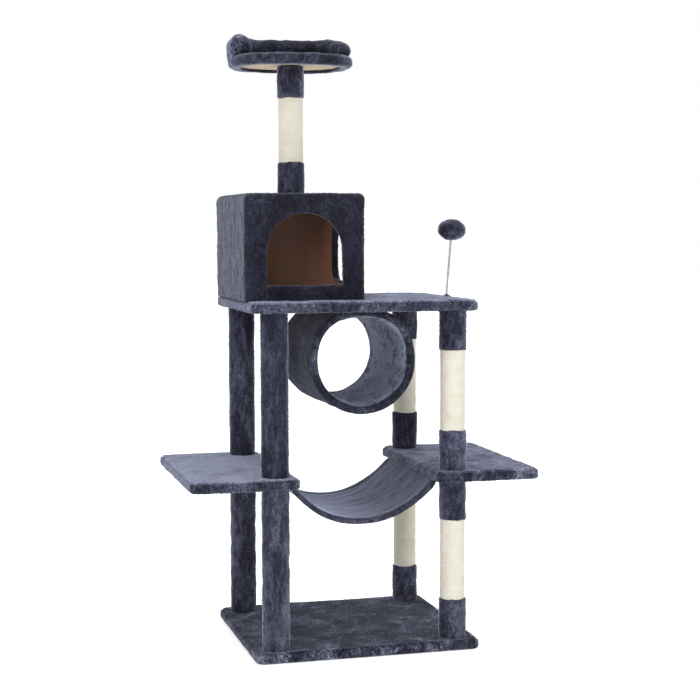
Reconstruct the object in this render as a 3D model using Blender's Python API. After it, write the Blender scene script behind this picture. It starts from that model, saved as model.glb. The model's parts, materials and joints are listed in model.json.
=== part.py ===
# Multi-level cat tree: plush covered boards on cardboard posts, with a house, a tunnel,
# a hammock, a top perch and a spring toy. Metres, +Z up, +Y to the back.
# The origin is on the floor, under the middle of the base.
import math

import bmesh
import bpy
import numpy as np

# Driving dimensions
gap = 0.0003             # clearance between neighbouring pieces
board = 0.015            # particle board of the base, shelves, deck and perch
plate = 0.024            # board with its plush, top to bottom
margin = 0.035           # plush folded under a board's edge
roundCorner = 0.022      # plan corners of the plates
baseSize = (0.600, 0.540)
deckSize = (0.604, 0.500)
shelfX = (0.1855, 0.467)  # inner and outer edge of a side shelf
shelfDepth = 0.540
postX = 0.2405
postY = 0.216
postLength = 0.4255
plushRadius = 0.035
sisalRadius = 0.0327
tubeRadius = 0.029
tubeWall = 0.004
plug = 0.014             # end plug glued into each tube
boltRadius = 0.004
boltHead = (0.0075, 0.0055)
sleeveEnd = 0.106        # plush cuff at each end of a sisal post
houseX = (-0.302, 0.014)
houseY = (-0.170, 0.248)
houseHeight = 0.2775
houseBoard = 0.009
housePlush = 0.0060
houseRound = 0.014
doorX = (-0.250, -0.041)
doorZ = (0.962, 1.055, 1.156)   # sill, spring line and crown
windowZ = (0.9665, 1.138)
windowWidth = 0.152
windowPower = 4.0        # superellipse power of the window
foldIn = 0.0028          # plush folded into the doorway and the window
topPostAt = (-0.142, 0.010)
topPostLength = 0.3442
topSisal = (0.0873, 0.2589)     # start and end of the sisal, up from the roof
perchSize = (0.325, 0.290)
perchPlate = 0.0267
perchPower = 2.5         # superellipse power of the perch outline
bolsterRadius = 0.0300
bolsterTurn = (-30, 200)  # degrees round the perch from its right side, counter-clockwise
bolsterTaper = (20, 52)   # degrees where it starts to thin towards its right end, and over how many
tunnelX = 0.002
tunnelY = (-0.200, 0.168)
tunnelRadius = (0.141, 0.138)
tunnelLayers = (0.005, 0.009, 0.0055)   # plush, tube wall, lining
tunnelPower = 2.35       # superellipse power of its upper half, pressed flat on the deck
hammockSag = 0.0945
hammockHalf = (0.192, 0.215)
hammockPower = 2.6       # 2 would be a parabola; more is flatter below and steeper at its ends
hammockTab = (0.232, 0.170)
hammockThick = 0.010
toyFoot = (0.2845, -0.034)
toyFootHeight = 0.008
toyLean = math.radians(4.9)
toySpringRadius = 0.0035
toyBend = 0.072          # from the foot up to where the spring bends again
toyLength = 0.1446       # foot pivot to the underside of the ball
toyBall = (0.0378, 0.028)

# Levels worked out from them
baseTop = plate
shelfLow = baseTop + postLength + gap
shelfTop = shelfLow + plate
deckLow = shelfTop + postLength + gap
deckTop = deckLow + plate
roofTop = deckTop + gap + houseHeight
houseMid = ((houseX[0] + houseX[1]) / 2, (houseY[0] + houseY[1]) / 2)
perchLow = roofTop + topPostLength - (perchPlate - board) / 2 + gap
perchTop = perchLow + perchPlate
deckSkin = (plate - board) / 2
tunnelMid = deckLow + deckSkin - gap - tunnelRadius[1]

colours = {
    "plush": ((0.045, 0.048, 0.075, 1), 0.95, 0.0),
    "sisal": ((0.78, 0.73, 0.62, 1), 0.90, 0.0),
    "chipboard": ((0.52, 0.40, 0.27, 1), 0.80, 0.0),
    "cardboard": ((0.45, 0.33, 0.21, 1), 0.85, 0.0),
    "house_board": ((0.26, 0.13, 0.075, 1), 0.80, 0.0),
    "steel": ((0.60, 0.61, 0.63, 1), 0.35, 1.0),
    "plastic": ((0.06, 0.06, 0.07, 1), 0.50, 0.0),
}


def clearScene():
    for old in list(bpy.data.objects):
        bpy.data.objects.remove(old, do_unlink=True)


def colourObject(obj, slot):
    base, roughness, metallic = colours[slot]
    material = bpy.data.materials.new(obj.name)
    material.use_nodes = True
    shader = material.node_tree.nodes["Principled BSDF"]
    shader.inputs["Base Color"].default_value = base
    shader.inputs["Roughness"].default_value = roughness
    shader.inputs["Metallic"].default_value = metallic
    material.diffuse_color = base
    obj.data.materials.append(material)


def addObject(name, verts, faces, slot, smoothAngle=35):
    mesh = bpy.data.meshes.new(name)
    mesh.from_pydata([tuple(map(float, v)) for v in verts], [], faces)
    work = bmesh.new()
    work.from_mesh(mesh)
    bmesh.ops.recalc_face_normals(work, faces=work.faces)
    work.to_mesh(mesh)
    work.free()
    mesh.shade_smooth()
    mesh.set_sharp_from_angle(angle=math.radians(smoothAngle))
    obj = bpy.data.objects.new(name, mesh)
    bpy.context.scene.collection.objects.link(obj)
    if slot:
        colourObject(obj, slot)
    return obj


def loft(name, rings, slot, closed=False):
    # skin over rings of equal point count; capped ends, or the last ring joined to the first
    count = len(rings[0])
    verts = np.concatenate(rings)
    pairs = len(rings) if closed else len(rings) - 1
    faces = []
    for r in range(pairs):
        low, high = r * count, (r + 1) % len(rings) * count
        for k in range(count):
            after = (k + 1) % count
            faces.append((low + k, low + after, high + after, high + k))
    if not closed:
        faces.append(tuple(range(count)))
        faces.append(tuple(range((len(rings) - 1) * count, len(rings) * count)))
    return addObject(name, verts, faces, slot)


def roundedRectangle(width, depth, radius, steps=4):
    # corner arcs one after the other, counter-clockwise
    points = []
    for corner, (sx, sy) in enumerate(((1, 1), (-1, 1), (-1, -1), (1, -1))):
        for k in range(steps + 1):
            turn = (corner + k / steps) * math.pi / 2
            points.append((sx * (width / 2 - radius) + radius * math.cos(turn),
                           sy * (depth / 2 - radius) + radius * math.sin(turn)))
    return np.array(points)


def superellipse(width, depth, power, count=32):
    turn = np.linspace(0, 2 * math.pi, count, endpoint=False)
    c, s = np.cos(turn), np.sin(turn)
    x = width / 2 * np.sign(c) * np.abs(c) ** (2 / power)
    y = depth / 2 * np.sign(s) * np.abs(s) ** (2 / power)
    return np.column_stack([x, y])


def at(outline, centre, z):
    return np.column_stack([outline[:, 0] + centre[0], outline[:, 1] + centre[1],
                            np.full(len(outline), z)])


def plateOutline(size):
    # an outline function of how far it is inset
    def inset(amount):
        return roundedRectangle(size[0] - 2 * amount, size[1] - 2 * amount,
                                max(roundCorner - amount, 0.004))
    return inset


def perchOutline(amount):
    return superellipse(perchSize[0] - 2 * amount, perchSize[1] - 2 * amount, perchPower)


def plushPlate(name, outline, centre, low, height, edge=0.006):
    # a board, and the plush that wraps its top and sides and folds under its edge
    skin = (height - board) / 2 - gap
    inner = skin + gap
    loft(name + "_board", [at(outline(inner), centre, low + inner),
                           at(outline(inner), centre, low + inner + board)], "chipboard")
    high = low + height
    path = [(skin, high - skin), (skin, low + skin), (margin, low + skin), (margin, low)]
    for k in range(4):
        turn = k / 3 * math.pi / 2
        path.append((edge - edge * math.sin(turn), low + edge - edge * math.cos(turn)))
    for k in range(4):
        turn = k / 3 * math.pi / 2
        path.append((edge - edge * math.cos(turn), high - edge + edge * math.sin(turn)))
    loft(name + "_cover", [at(outline(i), centre, z) for i, z in path], "plush")


def circle(radius, centre, z, count=20):
    turn = np.linspace(0, 2 * math.pi, count, endpoint=False)
    return np.column_stack([centre[0] + radius * np.cos(turn),
                            centre[1] + radius * np.sin(turn), np.full(count, z)])


def cylinder(name, radius, centre, low, high, slot, count=16):
    return loft(name, [circle(radius, centre, low, count), circle(radius, centre, high, count)], slot)


def ringPiece(name, outer, inner, centre, low, high, slot):
    # a plain sleeve round a tube
    path = [(outer, low), (outer, high), (inner, high), (inner, low)]
    loft(name, [circle(r, centre, z) for r, z in path], slot, closed=True)


def postTube(name, centre, low, high):
    # a cardboard tube with its two glued end plugs, each with a bolt hole
    inner, hole = tubeRadius - tubeWall, boltRadius + gap
    path = [(tubeRadius, low), (tubeRadius, high), (hole, high), (hole, high - plug),
            (inner, high - plug), (inner, low + plug), (hole, low + plug), (hole, low)]
    loft(name, [circle(r, centre, z) for r, z in path], "cardboard", closed=True)


def plushPost(name, centre, low, high):
    postTube(name + "_tube", centre, low, high)
    ringPiece(name + "_sleeve", plushRadius, tubeRadius + gap, centre, low, high, "plush")


def sisalPost(name, centre, low, high, start, end):
    postTube(name + "_tube", centre, low, high)
    inner = tubeRadius + gap
    ringPiece(name + "_cuff_low", plushRadius, inner, centre, low, low + start, "plush")
    ringPiece(name + "_sisal", sisalRadius, inner, centre, low + start + gap, low + end - gap, "sisal")
    ringPiece(name + "_cuff_high", plushRadius, inner, centre, low + end, high, "plush")


def cut(target, cutter):
    cutter.hide_render = True
    cutter.display_type = "WIRE"
    knife = target.modifiers.new(cutter.name, "BOOLEAN")
    knife.operation = "DIFFERENCE"
    knife.solver = "EXACT"
    knife.object = cutter


def bolt(name, centre, headLow, tip, headRadius, headHeight, shank):
    # head below, shank up to the tip; it may also point down
    way = 1 if tip > headLow else -1
    neck = headLow + way * headHeight
    path = [(headRadius, headLow), (headRadius, neck), (shank, neck), (shank, tip)]
    loft(name, [circle(r, centre, z, 12) for r, z in path], "steel")


def makeBase():
    plushPlate("base", plateOutline(baseSize), (0, 0), 0, plate)
    boardPiece, cover = bpy.data.objects["base_board"], bpy.data.objects["base_cover"]
    seat = (plate - board) / 2
    for side, x in (("left", -postX), ("right", postX)):
        for row, y in (("front", -postY), ("rear", postY)):
            tag = side + "_" + row
            centre = (x, y)
            counterbore = cylinder("counterbore_" + tag, boltHead[0] + 0.0005, centre, -0.01,
                                   seat + boltHead[1] + 0.0007, None)
            hole = cylinder("bolt_hole_" + tag, boltRadius + gap, centre, -0.01, plate + 0.01, None)
            cut(boardPiece, counterbore)
            cut(boardPiece, hole)
            cut(cover, hole)
            bolt("base_bolt_" + tag, centre, seat + 0.0002, baseTop + gap + plug - 0.001,
                 boltHead[0], boltHead[1], boltRadius)


def makePosts():
    for level, low in (("lower", baseTop + gap), ("upper", shelfTop + gap)):
        high = low + postLength - gap
        for row, y in (("front", -postY), ("rear", postY)):
            plushPost(level + "_left_" + row, (-postX, y), low, high)
            sisalPost(level + "_right_" + row, (postX, y), low, high,
                      sleeveEnd, high - low - sleeveEnd)


def makeShelves():
    width = shelfX[1] - shelfX[0]
    middle = (shelfX[0] + shelfX[1]) / 2
    for side, x in (("left", -middle), ("right", middle)):
        plushPlate(side + "_shelf", plateOutline((width, shelfDepth)), (x, 0), shelfLow, plate)


def makeDeck():
    plushPlate("deck", plateOutline(deckSize), (0, 0), deckLow, plate)


def doorOutline(grow):
    # straight sides and a round top, counter-clockwise in x and z
    low, spring, crown = doorZ
    middle, half = (doorX[0] + doorX[1]) / 2, (doorX[1] - doorX[0]) / 2
    turn = np.linspace(0, math.pi, 17)
    x = middle + (half + grow) * np.cos(turn)
    z = spring + (crown - spring + grow) * np.sin(turn)
    x = np.append(x, [middle - half - grow, middle + half + grow])
    z = np.append(z, [low - grow, low - grow])
    return x, z


def doorCutter(name, grow, y0, y1):
    x, z = doorOutline(grow)
    return loft(name, [np.column_stack([x, np.full(len(x), y), z]) for y in (y0, y1)], None)


def windowCutter(name, grow, x0, x1):
    outline = superellipse(windowWidth + 2 * grow, windowZ[1] - windowZ[0] + 2 * grow, windowPower, 24)
    y, z = outline[:, 0] + houseMid[1], outline[:, 1] + (windowZ[0] + windowZ[1]) / 2
    return loft(name, [np.column_stack([np.full(len(y), x), y, z]) for x in (x0, x1)], None)


def box(name, low, high, slot):
    (x0, y0, z0), (x1, y1, z1) = low, high
    rings = [np.array([(x0, y0, z), (x1, y0, z), (x1, y1, z), (x0, y1, z)]) for z in (z0, z1)]
    return loft(name, rings, slot)


def makeHouse():
    low = deckTop + gap
    x0, x1 = houseX[0] + housePlush, houseX[1] - housePlush
    y0, y1 = houseY[0] + housePlush, houseY[1] - housePlush
    top = roofTop - housePlush
    under = top - houseBoard
    wall = houseBoard
    box("house_roof_board", (x0, y0, under), (x1, y1, top), "house_board")
    box("house_left_board", (x0, y0, low), (x0 + wall, y1, under - gap), "house_board")
    right = box("house_right_board", (x1 - wall, y0, low), (x1, y1, under - gap), "house_board")
    inner = (x0 + wall + gap, x1 - wall - gap)
    front = box("house_front_board", (inner[0], y0, low), (inner[1], y0 + wall, under - gap), "house_board")
    box("house_back_board", (inner[0], y1 - wall, low), (inner[1], y1, under - gap), "house_board")
    cut(front, doorCutter("door_hole", foldIn, y0 - 0.02, y0 + 0.03))
    cut(right, windowCutter("window_hole", foldIn, x1 - 0.03, x1 + 0.02))

    # the plush goes over the five boards and is open underneath
    size = (houseX[1] - houseX[0], houseY[1] - houseY[0])
    skin = housePlush - gap

    def outline(amount, radius):
        return roundedRectangle(size[0] - 2 * amount, size[1] - 2 * amount, radius)
    square = 0.0006      # the inside fits the boards' square corners
    path = [(skin, square, roofTop - skin), (skin, square, low), (0, houseRound, low)]
    for k in range(5):
        turn = k / 4 * math.pi / 2
        inset = houseRound * (1 - math.cos(turn))
        path.append((inset, max(houseRound - inset, square),
                     roofTop - houseRound * (1 - math.sin(turn))))
    cover = loft("house_cover", [at(outline(i, r), houseMid, z) for i, r, z in path], "plush")
    cut(cover, doorCutter("door_cover_hole", 0, y0 - 0.03, y0 + 0.03))
    cut(cover, windowCutter("window_cover_hole", 0, x1 - 0.03, x1 + 0.03))


def makeTopPost():
    low = roofTop + gap
    sisalPost("top", topPostAt, low, low + topPostLength - 2 * gap, *topSisal)


def makePerch():
    plushPlate("perch", perchOutline, topPostAt, perchLow, perchPlate, edge=0.009)
    # one bolt down through the board into the top post
    skin = (perchPlate - board) / 2
    top = perchTop - skin
    hole = cylinder("perch_bolt_hole", boltRadius + gap, topPostAt, perchLow - 0.01, top + 0.01, None)
    seat = cylinder("perch_bolt_seat", boltHead[0] + 0.0005, topPostAt, top - boltHead[1] - 0.0007,
                    top + 0.01, None)
    cut(bpy.data.objects["perch_board"], hole)
    cut(bpy.data.objects["perch_board"], seat)
    bolt("perch_bolt", topPostAt, top - 0.0002, perchLow + skin - gap - plug + 0.001,
         boltHead[0], boltHead[1], boltRadius)
    makeBolster()


def makeBolster():
    # a stuffed roll round the left, back and right of the perch, with round ends. It lies on
    # the perch and is thin at its right end
    run = bolsterRadius + 0.001
    start, end = np.radians(bolsterTurn)
    # the tube shrinks to round ends over its last bolster radius
    share = np.array([0, 0.012, 0.04, *np.linspace(0.09, 0.91, 19), 0.96, 0.988, 1.0])
    a, b = perchSize[0] / 2 - run, perchSize[1] / 2 - run
    turn = start + (end - start) * share
    c, s = np.cos(turn), np.sin(turn)
    x = topPostAt[0] + a * np.sign(c) * np.abs(c) ** (2 / perchPower)
    y = topPostAt[1] + b * np.sign(s) * np.abs(s) ** (2 / perchPower)
    near = np.minimum(share, 1 - share) / 0.09
    radius = bolsterRadius * np.sqrt(np.clip(1 - (1 - np.clip(near, 0, 1)) ** 2, 0.06, 1))
    thin = np.clip((bolsterTaper[0] - np.degrees(turn)) / bolsterTaper[1], 0, 1)
    full = np.sqrt(np.clip(1 - thin ** 2, 0.06, 1))
    radius *= full
    # the thin end keeps to the perch's edge
    spare = 0.8 * bolsterRadius * (1 - full)
    level = perchTop + gap + np.maximum(radius, 0.25 * bolsterRadius)
    spots = np.column_stack([x, y])
    along = np.gradient(spots, axis=0)
    along /= np.linalg.norm(along, axis=1)[:, None]
    side = np.column_stack([along[:, 1], -along[:, 0]])
    rings = []
    for spot, out, r, z in zip(spots + side * spare[:, None], side, radius, level):
        turns = np.linspace(0, 2 * math.pi, 14, endpoint=False)
        ring = np.column_stack([spot[0] + out[0] * r * np.cos(turns),
                                spot[1] + out[1] * r * np.cos(turns), z + r * np.sin(turns)])
        rings.append(ring)
    loft("perch_bolster", rings, "plush")


def tunnelRing(inset, y, count=36):
    turn = np.linspace(0, 2 * math.pi, count, endpoint=False)
    c, s = np.cos(turn), np.sin(turn)
    power = np.where(s > 0, 2 / tunnelPower, 1)
    x = (tunnelRadius[0] - inset) * np.sign(c) * np.abs(c) ** power
    z = (tunnelRadius[1] - inset) * np.sign(s) * np.abs(s) ** power
    return np.column_stack([tunnelX + x, np.full(count, y), tunnelMid + z])


def makeTunnel():
    plush, wall, lining = tunnelLayers
    y0, y1 = tunnelY
    total = plush + wall + lining
    e = 0.004

    def tube(name, path, slot):
        return loft(name, [tunnelRing(i, y) for i, y in path], slot, closed=True)
    # the cover goes over the outside and both end faces
    cover = tube("tunnel_cover", [
        (0, y0 + e), (0, y1 - e), (e, y1), (total - e, y1), (total, y1 - e), (total, y1 - plush),
        (plush, y1 - plush), (plush, y0 + plush), (total, y0 + plush), (total, y0 + e),
        (total - e, y0), (e, y0)], "plush")
    inside = plush + gap
    core = tube("tunnel_tube", [
        (inside, y0 + inside), (inside, y1 - inside), (inside + wall - gap, y1 - inside),
        (inside + wall - gap, y0 + inside)], "cardboard")
    face = inside + wall
    liner = tube("tunnel_lining", [
        (face, y0 + inside), (face, y1 - inside), (total, y1 - inside), (total, y0 + inside)], "plush")

    # two screws up through the tunnel wall into the deck board
    bareBoard = deckLow + deckSkin
    ceiling = tunnelMid + tunnelRadius[1] - total
    head, shank, headHeight = 0.006, 0.0022, 0.003
    for place, y in (("front", -0.100), ("rear", 0.060)):
        hole = cylinder("tunnel_hole_" + place, shank + gap, (tunnelX, y), ceiling - 0.02,
                        bareBoard + 0.011, None, 12)
        for piece in (cover, core, liner, bpy.data.objects["deck_board"]):
            cut(piece, hole)
        bolt("tunnel_screw_" + place, (tunnelX, y), ceiling - 0.0006 - headHeight, bareBoard + 0.010,
             head, headHeight, shank)


def makeHammock():
    # a thick cloth that sags between the shelves, with a tab fixed under each shelf
    top = shelfLow - gap
    half, wide = hammockHalf
    tabEnd, tabWide = hammockTab
    stations = [-tabEnd, -half - 0.0015]
    stations += list(np.linspace(-half, half, 19)) + [half + 0.0015, tabEnd]
    rings = []
    for x in stations:
        level = top - hammockThick - hammockSag * (1 - min(abs(x) / half, 1) ** hammockPower)
        y = wide if abs(x) < half - 0.001 else tabWide
        rings.append(np.array([(x, -y, level), (x, y, level), (x, y, level + hammockThick),
                               (x, -y, level + hammockThick)]))
    loft("hammock", rings, "plush")


def leaning(distance, radius, count=12):
    # a ring square to the leaning spring
    turn = np.linspace(0, 2 * math.pi, count, endpoint=False)
    dx, dz = math.sin(toyLean), math.cos(toyLean)
    flat = radius * np.cos(turn)
    pivot = toyFoot[0], toyFoot[1], deckTop + toyFootHeight + 2 * gap + toySpringRadius
    return np.column_stack([pivot[0] + dx * distance + dz * flat,
                            pivot[1] + radius * np.sin(turn),
                            pivot[2] + dz * distance - dx * flat])


def springPiece(name, start, end):
    # a coil's outer shape, with a round lower end about its pivot
    path = [(start - toySpringRadius * math.cos(t), toySpringRadius * max(math.sin(t), 0.12))
            for t in (0, math.pi / 6, math.pi / 3, math.pi / 2)]
    path.append((end, toySpringRadius))
    return loft(name, [leaning(d, r) for d, r in path], "steel")


def makeToy():
    low = deckTop + gap
    path = [(0.011, low), (0.011, low + 0.003), (0.005, low + toyFootHeight - 0.001),
            (0.004, low + toyFootHeight)]
    loft("toy_foot", [circle(r, toyFoot, z, 16) for r, z in path], "plastic")
    springPiece("toy_spring_lower", 0, toyBend - toySpringRadius - 2 * gap)
    springPiece("toy_spring_upper", toyBend, toyLength - gap)
    wide, high = toyBall
    rings = []
    for k in range(11):
        t = math.pi * (0.04 + 0.92 * k / 10)
        rings.append(leaning(toyLength + high - high * math.cos(t), wide * math.sin(t), 20))
    loft("toy_ball", rings, "plush")


clearScene()
makeBase()
makePosts()
makeShelves()
makeDeck()
makeHouse()
makeTopPost()
makePerch()
makeTunnel()
makeHammock()
makeToy()
print("objects", len([o for o in bpy.data.objects if not o.hide_render]))
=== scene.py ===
import json
import math
import bmesh
import bpy
import numpy as np
from mathutils import Matrix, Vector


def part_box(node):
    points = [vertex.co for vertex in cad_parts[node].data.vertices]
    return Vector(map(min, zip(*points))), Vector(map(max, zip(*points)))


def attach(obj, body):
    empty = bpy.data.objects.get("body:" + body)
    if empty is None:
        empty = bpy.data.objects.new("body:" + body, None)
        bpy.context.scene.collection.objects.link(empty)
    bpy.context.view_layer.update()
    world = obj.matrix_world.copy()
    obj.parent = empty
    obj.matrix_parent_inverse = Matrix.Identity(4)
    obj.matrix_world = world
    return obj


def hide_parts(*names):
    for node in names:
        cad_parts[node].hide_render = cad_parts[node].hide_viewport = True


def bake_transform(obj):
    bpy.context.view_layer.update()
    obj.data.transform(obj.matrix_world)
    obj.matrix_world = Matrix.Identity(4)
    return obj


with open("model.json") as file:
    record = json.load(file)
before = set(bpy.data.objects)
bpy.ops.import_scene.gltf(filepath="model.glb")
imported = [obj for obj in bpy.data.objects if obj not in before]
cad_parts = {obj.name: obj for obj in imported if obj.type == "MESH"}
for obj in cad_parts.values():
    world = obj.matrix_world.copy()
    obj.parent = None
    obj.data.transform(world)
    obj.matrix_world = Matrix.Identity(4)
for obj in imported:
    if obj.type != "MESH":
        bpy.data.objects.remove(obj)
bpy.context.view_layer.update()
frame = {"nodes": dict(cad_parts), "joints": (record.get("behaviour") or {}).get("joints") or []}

print("cat tree: frame loaded")

# camera, floor and light

studio = {
    "place": (-1.0996, -4.1460, 1.1117), "yaw": 15.09, "pitch": -4.40, "roll": -0.178,
    "lens": 81.06, "floorColour": (0.93, 0.93, 0.93), "floorGlow": 0.42, "floorHalf": 30,
    "floorLevel": -0.0006, "skyLow": 0.52, "skyHigh": 1.25,
    "key": ((-1.9, -4.3, 2.0), 1.4, 52), "fill": ((3.0, -3.4, 2.0), 2.6, 14),
    "top": ((0.0, 0.1, 4.4), 2.0, 85), "aim": (0, 0, 0.85),
}


def aimed(place, target):
    # turns -Z from place towards target
    away = np.array(place, float) - np.array(target, float)
    back = away / np.linalg.norm(away)
    right = np.cross((0, 0, 1), back)
    right /= np.linalg.norm(right)
    up = np.cross(back, right)
    turned = Matrix(np.column_stack([right, up, back]).tolist()).to_4x4()
    turned.translation = place
    return turned


def makeStudio():
    data = bpy.data.cameras.new("studio_camera")
    data.lens, data.sensor_width = studio["lens"], 36
    camera = bpy.data.objects.new("studio_camera", data)
    turned = (Matrix.Rotation(math.radians(-studio["yaw"]), 4, "Z")
              @ Matrix.Rotation(math.radians(90 + studio["pitch"]), 4, "X")
              @ Matrix.Rotation(math.radians(studio["roll"]), 4, "Z"))
    camera.matrix_world = Matrix.Translation(studio["place"]) @ turned
    bpy.context.scene.collection.objects.link(camera)
    bpy.context.scene.camera = camera

    for name in ("key", "fill", "top"):
        place, size, power = studio[name]
        lamp = bpy.data.lights.new(name + "_light", "AREA")
        lamp.size, lamp.energy = size, power
        lampObject = bpy.data.objects.new(name + "_light", lamp)
        lampObject.matrix_world = aimed(place, studio["aim"])
        bpy.context.scene.collection.objects.link(lampObject)

    # a white backdrop that lights the object mostly from above
    world = bpy.data.worlds.new("studio_world")
    world.use_nodes = True
    tree = world.node_tree
    sky = tree.nodes["Background"]
    backdrop = tree.nodes.new("ShaderNodeBackground")
    backdrop.inputs["Color"].default_value = (1, 1, 1, 1)
    split = tree.nodes.new("ShaderNodeSeparateXYZ")
    tree.links.new(tree.nodes.new("ShaderNodeTexCoord").outputs["Generated"], split.inputs[0])
    grade = tree.nodes.new("ShaderNodeMapRange")
    grade.inputs["To Min"].default_value = studio["skyLow"]
    grade.inputs["To Max"].default_value = studio["skyHigh"]
    tree.links.new(split.outputs["Z"], grade.inputs["Value"])
    sky.inputs["Color"].default_value = (1, 1, 1, 1)
    tree.links.new(grade.outputs[0], sky.inputs["Strength"])
    seen = tree.nodes.new("ShaderNodeMixShader")
    tree.links.new(tree.nodes.new("ShaderNodeLightPath").outputs["Is Camera Ray"], seen.inputs[0])
    tree.links.new(sky.outputs[0], seen.inputs[1])
    tree.links.new(backdrop.outputs[0], seen.inputs[2])
    tree.links.new(seen.outputs[0], tree.nodes["World Output"].inputs["Surface"])
    bpy.context.scene.world = world
    bpy.context.scene.view_settings.view_transform = "Standard"    # white stays white

    mesh = bpy.data.meshes.new("studio_floor")
    far, level = studio["floorHalf"], studio["floorLevel"]
    corners = [(-far, -far, level), (far, -far, level), (far, far, level), (-far, far, level)]
    mesh.from_pydata(corners, [], [(0, 1, 2, 3)])
    floor = bpy.data.objects.new("studio_floor", mesh)
    bpy.context.scene.collection.objects.link(floor)
    paint = bpy.data.materials.new("studio_floor")
    paint.use_nodes = True
    shader = paint.node_tree.nodes["Principled BSDF"]
    shader.inputs["Base Color"].default_value = (*studio["floorColour"], 1)
    shader.inputs["Roughness"].default_value = 0.9
    shader.inputs["Emission Color"].default_value = (1, 1, 1, 1)
    shader.inputs["Emission Strength"].default_value = studio["floorGlow"]
    mesh.materials.append(paint)


makeStudio()
print("studio ready")


# shader sheets: sockets that can be used in sums

class Reading:
    def __init__(self, page, socket):
        self.page, self.socket = page, socket

    def sum(self, operation, left, right):
        return self.page.node("ShaderNodeMath", {"operation": operation}, [left, right])

    def __add__(self, other):
        return self.sum("ADD", self, other)

    def __radd__(self, other):
        return self.sum("ADD", other, self)

    def __sub__(self, other):
        return self.sum("SUBTRACT", self, other)

    def __rsub__(self, other):
        return self.sum("SUBTRACT", other, self)

    def __mul__(self, other):
        return self.sum("MULTIPLY", self, other)

    def __rmul__(self, other):
        return self.sum("MULTIPLY", other, self)


class Page:
    # one material being written
    def __init__(self, name, roughness=0.8, metallic=0.0, **fixed):
        self.material = bpy.data.materials.new(name)
        self.material.use_nodes = True
        self.tree = self.material.node_tree
        self.shader = self.tree.nodes["Principled BSDF"]
        self.fix("Roughness", roughness)
        self.fix("Metallic", metallic)
        for key, value in fixed.items():
            self.fix(key.replace("_", " "), value)

    def fix(self, socket, value):
        self.shader.inputs[socket].default_value = value

    def node(self, kind, settings=None, inputs=None, output=0):
        made = self.tree.nodes.new(kind)
        for key, value in (settings or {}).items():
            if key == "stops":
                ramp = made.color_ramp
                while len(ramp.elements) < len(value):
                    ramp.elements.new(1.0)
                for element, (place, colour) in zip(ramp.elements, value):
                    element.position, element.color = place, colour
            else:
                setattr(made, key, value)
        pairs = inputs.items() if isinstance(inputs, dict) else enumerate(inputs or [])
        for key, value in pairs:
            if isinstance(value, Reading):
                self.tree.links.new(value.socket, made.inputs[key])
            elif value is not None:
                made.inputs[key].default_value = value
        return Reading(self, made.outputs[output])

    def place(self, scale=(1, 1, 1), shift=(0, 0, 0)):
        # object coordinates, stretched and moved
        coords = self.node("ShaderNodeTexCoord", output="Object")
        return self.node("ShaderNodeMapping", {}, {"Vector": coords, "Location": shift,
                                                   "Scale": scale})

    def uv(self, scale):
        coords = self.node("ShaderNodeTexCoord", output="UV")
        return self.node("ShaderNodeMapping", {}, {"Vector": coords, "Scale": scale})

    def noise(self, vector, scale, detail=2.0, roughness=0.5, distortion=0.0):
        return self.node("ShaderNodeTexNoise", {},
                         {"Vector": vector, "Scale": scale, "Detail": detail,
                          "Roughness": roughness, "Distortion": distortion}, output="Fac")

    def range(self, value, low, high, newLow=0.0, newHigh=1.0):
        return self.node("ShaderNodeMapRange", {"interpolation_type": "SMOOTHSTEP"},
                         {"Value": value, "From Min": low, "From Max": high,
                          "To Min": newLow, "To Max": newHigh})

    def ramp(self, value, stops):
        return self.node("ShaderNodeValToRGB", {"stops": stops}, [value])

    def bump(self, height, distance, strength=1.0):
        return self.node("ShaderNodeBump", {}, {"Height": height, "Distance": distance,
                                                "Strength": strength})

    def use(self, **sockets):
        for key, value in sockets.items():
            self.tree.links.new(value.socket, self.shader.inputs[key.replace("_", " ")])
        return self.material


def shade(r, g, b):
    return (r, g, b, 1.0)


# shades run from pile that stands to pile that lies flat, and the palest one serves only painted
# light; "stops" are their places in the tone and the second set those of a piece with painted
# light; the rest are noise scales
plush = {
    "shades": [shade(0.0095, 0.0098, 0.0165), shade(0.0170, 0.0175, 0.0290),
               shade(0.0285, 0.0300, 0.0480), shade(0.050, 0.053, 0.082),
               shade(0.092, 0.099, 0.145), shade(0.215, 0.230, 0.310)],
    "stops": (0.06, 0.27, 0.47, 0.70, 0.95),
    "litStops": (0.06, 0.22, 0.38, 0.54, 0.70, 0.98),
    "haze": shade(0.70, 0.76, 1.0),
    "blotch": 11.0, "streak": 45.0, "clump": 110.0, "tuft": 240.0, "fibre": 900.0,
}


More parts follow.
